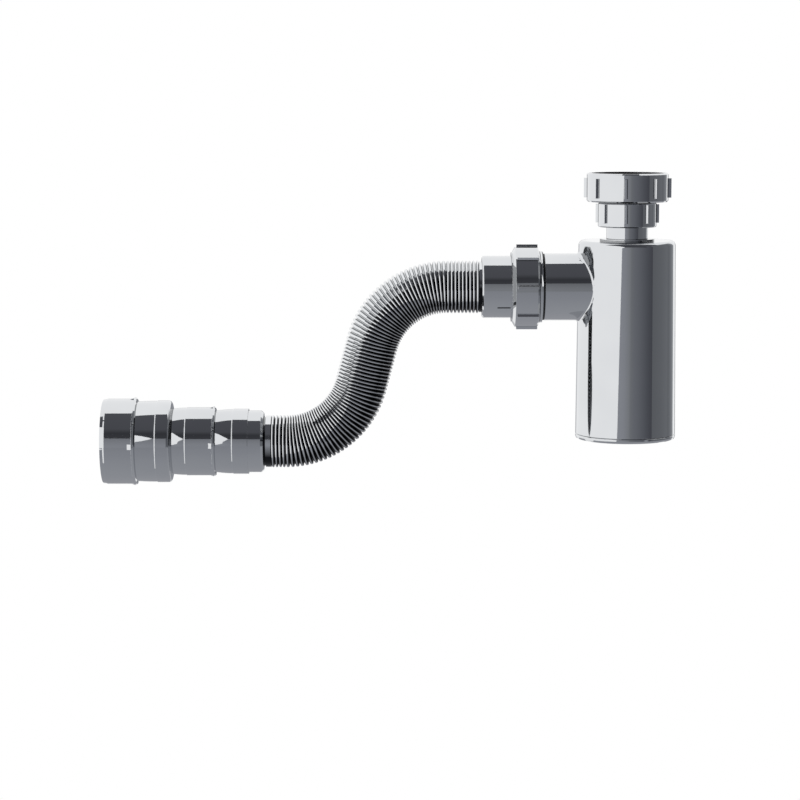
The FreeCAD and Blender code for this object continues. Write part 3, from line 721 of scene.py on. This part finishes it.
@dataclass
class CorrugatedHose:
    """Bellows pipe from the cuff to the wall adapter, in two opposite bends with straight runs between."""

    # Section of a ridge, and the plain ends
    pitch: float = 2.13 * MM
    crest_radius: float = 15.3 * MM
    eave_radius: float = 15.06 * MM
    groove_radius: float = 13.55 * MM
    crest_width: float = 0.08 * MM
    roof_width: float = 0.98 * MM
    groove_width: float = 0.3 * MM
    bore_radius: float = 12.2 * MM
    sleeve_radius: float = 14.7 * MM
    collar_radius: float = 15.02 * MM
    end_groove: float = 1.3 * MM
    end_groove_radius: float = 14.3 * MM
    # Painted shade: where the light comes from, how far facing it lightens the grooves, how that lightening
    # falls off towards the wall end, and the shade painted on the side turned away
    light_from: Corner = (-0.7, 0.0, 0.7)
    lit_start: float = -0.1
    lit_full: float = 0.4
    lit_most: float = 0.83
    lit_loss: float = 0.30
    lit_fall: float = 3.0
    far_shade: float = 0.168
    far_shade_full: float = 0.5
    # Route between the fittings
    cuff_depth: float = 13.0 * MM
    adapter_depth: float = 12.0 * MM
    cuff_sleeve: float = 1.6 * MM
    adapter_sleeve: float = 4.4 * MM
    outlet_run: float = 20.5 * MM
    bend_radius: float = 45.0 * MM
    turn: float = math.radians(75)
    # Fineness of the mesh
    sides: int = 88
    bore_cuts: int = 80
    sharp_angle: float = math.radians(25)

    mouth: Vector = field(init=False)
    arrival: Vector = field(init=False)
    runs: Outline = field(init=False)
    length: float = field(init=False)

    def __post_init__(self) -> None:
        """Works out the route's runs, each a length and a turn, from where the fittings lie."""
        start = axis_of("hose_cuff")
        end = axis_of("wall_adapter")
        self.mouth = Vector((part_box("hose_cuff")[0].x, 0, start.z))
        self.arrival = Vector((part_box("wall_adapter")[1].x, 0, end.z))
        bend_drop = 2 * self.bend_radius * (1 - math.cos(self.turn))
        bend_reach = 2 * self.bend_radius * math.sin(self.turn)
        middle_run = (start.z - end.z - bend_drop) / math.sin(self.turn)
        middle_reach = middle_run * math.cos(self.turn)
        wall_run = self.mouth.x - self.arrival.x - self.outlet_run - bend_reach - middle_reach
        arc = self.bend_radius * self.turn
        self.runs = (
            (self.cuff_depth + self.outlet_run, 0.0),
            (arc, self.turn),
            (middle_run, 0.0),
            (arc, -self.turn),
            (wall_run + self.adapter_depth, 0.0),
        )
        self.length = sum(length for length, angle in self.runs)

    def place(self, distance: float) -> tuple[Vector, float]:
        """Finds where the route is at a distance along it.

        Args:
            distance: Metres from the hose's end in the cuff.

        Returns:
            The centre point and the downward slope there.
        """
        point = self.mouth + Vector((self.cuff_depth, 0, 0))
        slope = 0.0
        left = distance
        for length, angle in self.runs:
            step = min(left, length)
            if angle == 0.0:
                point -= step * Vector((math.cos(slope), 0, math.sin(slope)))
            else:
                side = math.copysign(1.0, angle)
                ending = slope + side * step / self.bend_radius
                across = math.sin(ending) - math.sin(slope)
                drop = math.cos(slope) - math.cos(ending)
                point -= side * self.bend_radius * Vector((across, 0, drop))
                slope = ending
            left -= step
        return point, slope

    def ridges(
        self, shape: bmesh.types.BMesh, start: float, end: float,
    ) -> tuple[bmesh.types.BMVert, bmesh.types.BMVert]:
        """Draws the outline of all the ridges as one wire.

        Args:
            shape: Bmesh that takes the wire.
            start: Distance where the first groove begins.
            end: Distance where the last groove ends.

        Returns:
            The first and the last vertex of the wire.
        """
        count = round((end - start) / self.pitch)
        pitch = (end - start) / count
        rise = (
            (self.groove_width / 2, self.groove_radius),
            ((pitch - self.roof_width) / 2, self.eave_radius),
            ((pitch - self.crest_width) / 2, self.crest_radius),
        )
        fall = tuple((pitch - along, radius) for along, radius in reversed(rise))
        corners = ((0.0, self.groove_radius), *rise, *fall, (pitch, self.groove_radius))
        ridge = [shape.verts.new((start + along, 0, radius)) for along, radius in corners]
        first = ridge + [shape.edges.new(pair) for pair in zip(ridge, ridge[1:])]
        for index in range(1, count):
            copied = bmesh.ops.duplicate(shape, geom=first)
            moved = [item for item in copied["geom"] if isinstance(item, bmesh.types.BMVert)]
            bmesh.ops.translate(shape, vec=(index * pitch, 0, 0), verts=moved)
        bmesh.ops.remove_doubles(shape, verts=shape.verts, dist=MERGE_DISTANCE)
        ordered = sorted(shape.verts, key=lambda vert: vert.co.x)
        return ordered[0], ordered[-1]

    def outline(self, shape: bmesh.types.BMesh) -> None:
        """Draws the closed section of the whole hose: ridges, plain sleeves at both ends and the bore.

        Args:
            shape: Empty bmesh that takes the section.
        """
        ridges_start = self.cuff_depth + self.cuff_sleeve
        ridges_end = self.length - self.adapter_depth - self.adapter_sleeve
        first, last = self.ridges(shape, ridges_start, ridges_end)
        collar_end = self.length - self.adapter_depth - self.end_groove
        wall_end = [
            shape.verts.new((ridges_end, 0, self.collar_radius)),
            shape.verts.new((collar_end, 0, self.collar_radius)),
            shape.verts.new((collar_end, 0, self.end_groove_radius)),
            shape.verts.new((self.length, 0, self.end_groove_radius)),
        ]
        bore = [
            shape.verts.new((self.length, 0, self.bore_radius)),
            shape.verts.new((0, 0, self.bore_radius)),
        ]
        cuff_end = [
            shape.verts.new((0, 0, self.sleeve_radius)),
            shape.verts.new((ridges_start, 0, self.sleeve_radius)),
        ]
        chain = [last, *wall_end, *bore, *cuff_end, first]
        for pair in zip(chain, chain[1:]):
            shape.edges.new(pair)
        bmesh.ops.subdivide_edges(shape, edges=[shape.edges.get(bore)], cuts=self.bore_cuts)

    def painted_shade(self, radius: float, facing: Vector, share: float) -> float:
        """Tells how much painted shade a point gets: most deep in the grooves, less where they face the
        light, more on the side turned away.

        Args:
            radius: Distance of the point from the pipe's middle.
            facing: Direction from the pipe's middle to the point.
            share: How far along the pipe the point is, 1 at the wall end.

        Returns:
            A share from 0, bright crest, to 1, darkest painted shade.
        """
        depth = (self.crest_radius - radius) / (self.crest_radius - self.groove_radius)
        turned = facing.dot(Vector(self.light_from).normalized())
        lit = clamped((turned - self.lit_start) / (self.lit_full - self.lit_start))
        most = self.lit_most - self.lit_loss * share ** self.lit_fall
        far = clamped(-turned / self.far_shade_full)
        return clamped(depth * (1 - most * lit) + self.far_shade * far)

    def bend(self, shape: bmesh.types.BMesh) -> None:
        """Lays the straight pipe along its route and notes how much painted shade each point gets.

        Args:
            shape: Pipe that lies along X from the origin.
        """
        layer = shape.verts.layers.float.new(MetalWithPaintedGrooveShade.LAYER)
        for vert in shape.verts:
            point, slope = self.place(vert.co.x)
            rise = Vector((-math.sin(slope), 0, math.cos(slope)))
            outward = vert.co.z * rise + Vector((0, -vert.co.y, 0))
            share = vert.co.x / self.length
            vert[layer] = self.painted_shade(outward.length, outward.normalized(), share)
            vert.co = point + outward

    def build(self) -> list[bpy.types.Object]:
        """Spins the section, bends the pipe and joins it to both fittings.

        Returns:
            The new piece.
        """
        shape = bmesh.new()
        self.outline(shape)
        bmesh.ops.spin(
            shape, geom=shape.verts[:] + shape.edges[:], cent=(0, 0, 0), axis=(1, 0, 0),
            angle=FULL_TURN, steps=self.sides, use_merge=True,
        )
        self.bend(shape)
        close_up(shape)
        piece = new_piece("corrugated_hose", shape, self.sharp_angle)
        METALLISED.dress(piece)
        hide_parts("hose")
        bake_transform(piece)
        return [piece]


@dataclass(frozen=True)
class Shade:
    """Shades of a card along one axis of the frame, each at its place in metres."""

    along: Axis
    stops: tuple[tuple[float, str], ...]

    def colour(self, tree: bpy.types.NodeTree, split: bpy.types.Node) -> bpy.types.NodeSocket:
        """Lays the shades out along the axis.

        Args:
            tree: Node tree of the card's material.
            split: Node that gives a point's place on each axis.

        Returns:
            The output that carries the colour.
        """
        low, first = self.stops[0]
        high, last = self.stops[-1]
        span = add_node(
            tree, "ShaderNodeMapRange", values={"From Min": low, "From Max": high},
            links={"Value": split.outputs[self.along.value]},
        )
        ramp = add_node(tree, "ShaderNodeValToRGB", links={"Fac": span.outputs["Result"]})
        ramp.color_ramp.elements[0].color = linear(first)
        ramp.color_ramp.elements[1].color = linear(last)
        for position, code in self.stops[1:-1]:
            ramp.color_ramp.elements.new((position - low) / (high - low)).color = linear(code)
        return ramp.outputs["Color"]


@dataclass
class StudioCard:
    """Matte card that only the polished metal sees."""

    name: str
    corners: tuple[Corner, ...]
    shades: tuple[Shade, ...]
    second_level: float = 0.15

    def material(self) -> bpy.types.Material:
        """Makes the even glow of a lit card, with its shades laid over each other.

        Returns:
            The card's own material.
        """
        made = bpy.data.materials.new(self.name)
        made.use_nodes = True
        tree = made.node_tree
        tree.nodes.clear()
        place = add_node(tree, "ShaderNodeTexCoord")
        split = add_node(tree, "ShaderNodeSeparateXYZ", links={"Vector": place.outputs["Object"]})
        colour, *others = [shade.colour(tree, split) for shade in self.shades]
        for other in others:
            both = add_node(
                tree, "ShaderNodeVectorMath", {"operation": "MULTIPLY"}, links={0: colour, 1: other},
            )
            colour = both.outputs["Vector"]
        strength = mirrored_strength(tree, self.second_level)
        glow = add_node(tree, "ShaderNodeEmission", links={"Color": colour, "Strength": strength})
        add_node(tree, "ShaderNodeOutputMaterial", links={"Surface": glow.outputs["Emission"]})
        return made

    def build(self) -> bpy.types.Object:
        """Makes one flat face, hidden from the camera and from soft light.

        Returns:
            The card.
        """
        shape = bmesh.new()
        corners = [shape.verts.new(corner) for corner in self.corners]
        bmesh.ops.contextual_create(shape, geom=corners)
        card = new_piece(self.name, shape)
        card.data.materials.append(self.material())
        card.visible_camera = False
        card.visible_diffuse = False
        card.visible_shadow = False
        card.visible_transmission = False
        return card


@dataclass
class Studio:
    """White surroundings, pale floor and the grey and dark cards that draw the chrome's edges.

    An upright card's outline is across and up, and a level card's is across and back.
    """

    floor_height: float = -0.85
    floor_radius: float = 1.2
    floor_fade: float = 0.5
    floor_colour: str = "#F4F4F3"
    soft_level: float = 0.95
    second_white: float = 0.45
    second_grey: float = 0.6
    second_table: float = 0.9
    # Planes that the cards lie on, and where those planes end
    table: float = -0.80
    table_edge: float = 3.6
    table_back: float = 1.5
    skirt: float = -1.6
    roof: float = 5.0
    front: float = -6.0
    right: float = 5.8
    right_seam: float = -3.5
    right_end: float = 6.5
    rear: float = 6.5
    rear_left: float = -2.4
    rear_right: float = 2.6
    rear_low: float = -2.2
    rear_high: float = 0.2
    # Outlines; the two cards in front leave a white gap that opens to the left of where they meet
    meeting: Outline = ((-1.05, 1.47), (0.17, 1.50), (0.35, 1.62), (right, 1.62))
    low_edge: Outline = (
        (right, skirt), (-3.57, skirt), (-3.02, -1.29), (-2.40, table),
        (-1.62, -0.20), (-1.55, 0.50), (-1.15, 1.12),
    )
    high_edge: Outline = ((right, roof), (-3.0, roof), (-2.74, 4.57), (-1.55, 2.44), (-1.15, 1.82))
    table_outline: Outline = (
        (table_edge, -table_edge), (table_edge, table_back), (-1.2, table_back),
        (-0.9, 0.5), (-0.77, -0.19), (-1.81, -table_edge),
    )
    roof_outline: Outline = ((right, front), (right, 0.13), (-0.35, 0.10), (-4.4, -1.45), (-3.0, front))
    # Shades
    low_across: Shade = Shade(Axis.X, (
        (-1.6, "#92949A"), (-0.8, "#8E9096"), (0.3, "#838589"), (0.7, "#77797D"),
        (1.6, "#6F7177"), (4.2, "#5F6167"), (right, "#56585E"),
    ))
    low_upwards: Shade = Shade(Axis.Z, ((-0.6, WHITE), (0.6, "#F0F0F0"), (1.5, "#E0E0E0")))
    high_upwards: Shade = Shade(Axis.Z, (
        (1.5, "#3E3F43"), (3.2, "#393A3E"), (4.4, "#494A4E"), (roof, "#4E4F54"),
    ))
    table_backwards: Shade = Shade(Axis.Y, (
        (front, "#8A8C92"), (-2.5, "#8D8F95"), (-1.0, "#919399"), (0.0, "#9A9CA1"), (0.4, "#9E9FA4"),
    ))
    roof_backwards: Shade = Shade(Axis.Y, ((front, "#4F5055"), (0.1, "#535459")))
    right_near: Shade = Shade(Axis.Y, ((front, "#56585E"), (right_seam, "#4A4B51")))
    right_far: Shade = Shade(Axis.Y, (
        (right_seam, "#636569"), (-0.5, "#6A6C70"), (1.6, "#727478"), (2.4, "#6C6E72"),
        (4.0, "#7E8084"), (right_end, "#A0A2A4"),
    ))
    rear_across: Shade = Shade(Axis.X, (
        (rear_left, "#D8D8DA"), (-0.2, "#B4B5B8"), (0.3, "#8E9096"), (rear_right, "#66686C"),
    ))

    def world(self) -> None:
        """Makes a white background that the metal shows too, over soft even light."""
        world = bpy.data.worlds.new("white_studio")
        bpy.context.scene.world = world
        world.use_nodes = True
        tree = world.node_tree
        tree.nodes.clear()
        rays = add_node(tree, "ShaderNodeLightPath")
        mirrored = add_node(
            tree, "ShaderNodeMath", {"operation": "MAXIMUM"},
            links={0: rays.outputs["Is Camera Ray"], 1: rays.outputs["Is Glossy Ray"]},
        )
        shown = add_node(
            tree, "ShaderNodeMath", {"operation": "MAXIMUM"},
            links={0: mirrored.outputs["Value"], 1: rays.outputs["Is Transmission Ray"]},
        )
        soft = add_node(
            tree, "ShaderNodeBackground", values={"Color": linear(WHITE), "Strength": self.soft_level},
        )
        white = add_node(
            tree, "ShaderNodeBackground", values={"Color": linear(WHITE)},
            links={"Strength": mirrored_strength(tree, self.second_white)},
        )
        mixed = add_node(
            tree, "ShaderNodeMixShader",
            links={0: shown.outputs["Value"], 1: soft.outputs["Background"], 2: white.outputs["Background"]},
        )
        add_node(tree, "ShaderNodeOutputWorld", links={"Surface": mixed.outputs["Shader"]})

    def floor_material(self, centre: Vector) -> bpy.types.Material:
        """Makes a pale matte floor that fades out round its centre.

        Args:
            centre: Middle of the floor.

        Returns:
            The floor's material.
        """
        made = bpy.data.materials.new("pale_studio_floor")
        made.use_nodes = True
        tree = made.node_tree
        tree.nodes.clear()
        place = add_node(tree, "ShaderNodeTexCoord")
        away = add_node(
            tree, "ShaderNodeVectorMath", {"operation": "DISTANCE"}, {1: centre},
            links={0: place.outputs["Object"]},
        )
        fade = add_node(
            tree, "ShaderNodeMapRange", {"interpolation_type": "SMOOTHSTEP"},
            {"From Min": self.floor_fade, "From Max": self.floor_radius},
            {"Value": away.outputs["Value"]},
        )
        matte = add_node(tree, "ShaderNodeBsdfDiffuse", values={"Color": linear(self.floor_colour)})
        clear = add_node(tree, "ShaderNodeBsdfTransparent")
        mixed = add_node(
            tree, "ShaderNodeMixShader",
            links={0: fade.outputs["Result"], 1: matte.outputs["BSDF"], 2: clear.outputs["BSDF"]},
        )
        add_node(tree, "ShaderNodeOutputMaterial", links={"Surface": mixed.outputs["Shader"]})
        return made

    def floor(self) -> bpy.types.Object:
        """Lays a round floor under the trap.

        Returns:
            The floor.
        """
        shape = bmesh.new()
        bmesh.ops.create_circle(shape, cap_ends=True, segments=RING_STEPS, radius=self.floor_radius)
        centre = Vector((axis_of("hose").x, 0, self.floor_height))
        bmesh.ops.translate(shape, vec=centre, verts=shape.verts)
        floor = new_piece("studio_floor", shape)
        floor.data.materials.append(self.floor_material(centre))
        return floor

    def right_wall(self, start: float, end: float) -> tuple[Corner, ...]:
        """Finds the corners of a card on the right, from one depth to another.

        Args:
            start: Depth of its near edge.
            end: Depth of its far edge.

        Returns:
            The four corners, in order.
        """
        return (
            (self.right, start, self.skirt), (self.right, end, self.skirt),
            (self.right, end, self.roof), (self.right, start, self.roof),
        )

    def cards(self) -> list[StudioCard]:
        """Sets out the cards in front, below, above, on the right and behind.

        Returns:
            The cards, not built yet.
        """
        front_low = tuple((across, self.front, up) for across, up in self.low_edge + self.meeting)
        front_high = tuple((across, self.front, up) for across, up in self.high_edge + self.meeting)
        below = tuple((across, back, self.table) for across, back in self.table_outline)
        above = tuple((across, back, self.roof) for across, back in self.roof_outline)
        right_front = self.right_wall(self.front, self.right_seam)
        right_back = self.right_wall(self.right_seam, self.right_end)
        behind = (
            (self.rear_left, self.rear, self.rear_low), (self.rear_right, self.rear, self.rear_low),
            (self.rear_right, self.rear, self.rear_high), (self.rear_left, self.rear, self.rear_high),
        )
        return [
            StudioCard("card_front_low", front_low, (self.low_across, self.low_upwards), self.second_grey),
            StudioCard("card_front_high", front_high, (self.high_upwards,)),
            StudioCard("card_below", below, (self.table_backwards,), self.second_table),
            StudioCard("card_above", above, (self.roof_backwards,)),
            StudioCard("card_right_front", right_front, (self.right_near,)),
            StudioCard("card_right_back", right_back, (self.right_far,)),
            StudioCard("card_behind", behind, (self.rear_across,)),
        ]

    def build(self) -> list[bpy.types.Object]:
        """Makes the world, the floor and the cards, and gives the floor and the cards back."""
        self.world()
        return [self.floor(), *(card.build() for card in self.cards())]


@dataclass
class PhotoCamera:
    """Long lens a little above the trap, looking straight at its front, with the outlet on the left."""

    lens_mm: float = 112.5
    sensor_mm: float = 36.0
    target: Corner = (-0.132, 0.0, -0.12553)
    distance: float = 1.465
    pitch: float = math.radians(7)

    def build(self) -> list[bpy.types.Object]:
        """Places the camera and makes it the scene's own.

        Returns:
            The camera.
        """
        data = bpy.data.cameras.new("photo_camera")
        data.lens = self.lens_mm
        data.sensor_width = self.sensor_mm
        camera = bpy.data.objects.new("photo_camera", data)
        bpy.context.scene.collection.objects.link(camera)
        sight = Vector((0, math.cos(self.pitch), -math.sin(self.pitch)))
        camera.location = Vector(self.target) - self.distance * sight
        camera.rotation_euler = (QUARTER_TURN - self.pitch, 0, 0)
        bpy.context.scene.camera = camera
        return [camera]


def main() -> None:
    """Sets up the camera and the studio, then builds the trap's sub-assemblies in order."""
    logging.basicConfig(level=logging.INFO, format="%(name)s: %(message)s")
    bpy.context.scene.view_settings.view_transform = "Standard"
    setting = (PhotoCamera(), Studio())
    trap = (InletUnion(), NeckJoint(), Bottle(), OutletUnion(), CorrugatedHose(), WallAdapter())
    for part in setting + trap:
        for piece in part.build():
            LOG.info("%s: %s", type(part).__name__, piece.name)


if __name__ == "__main__":
    main()
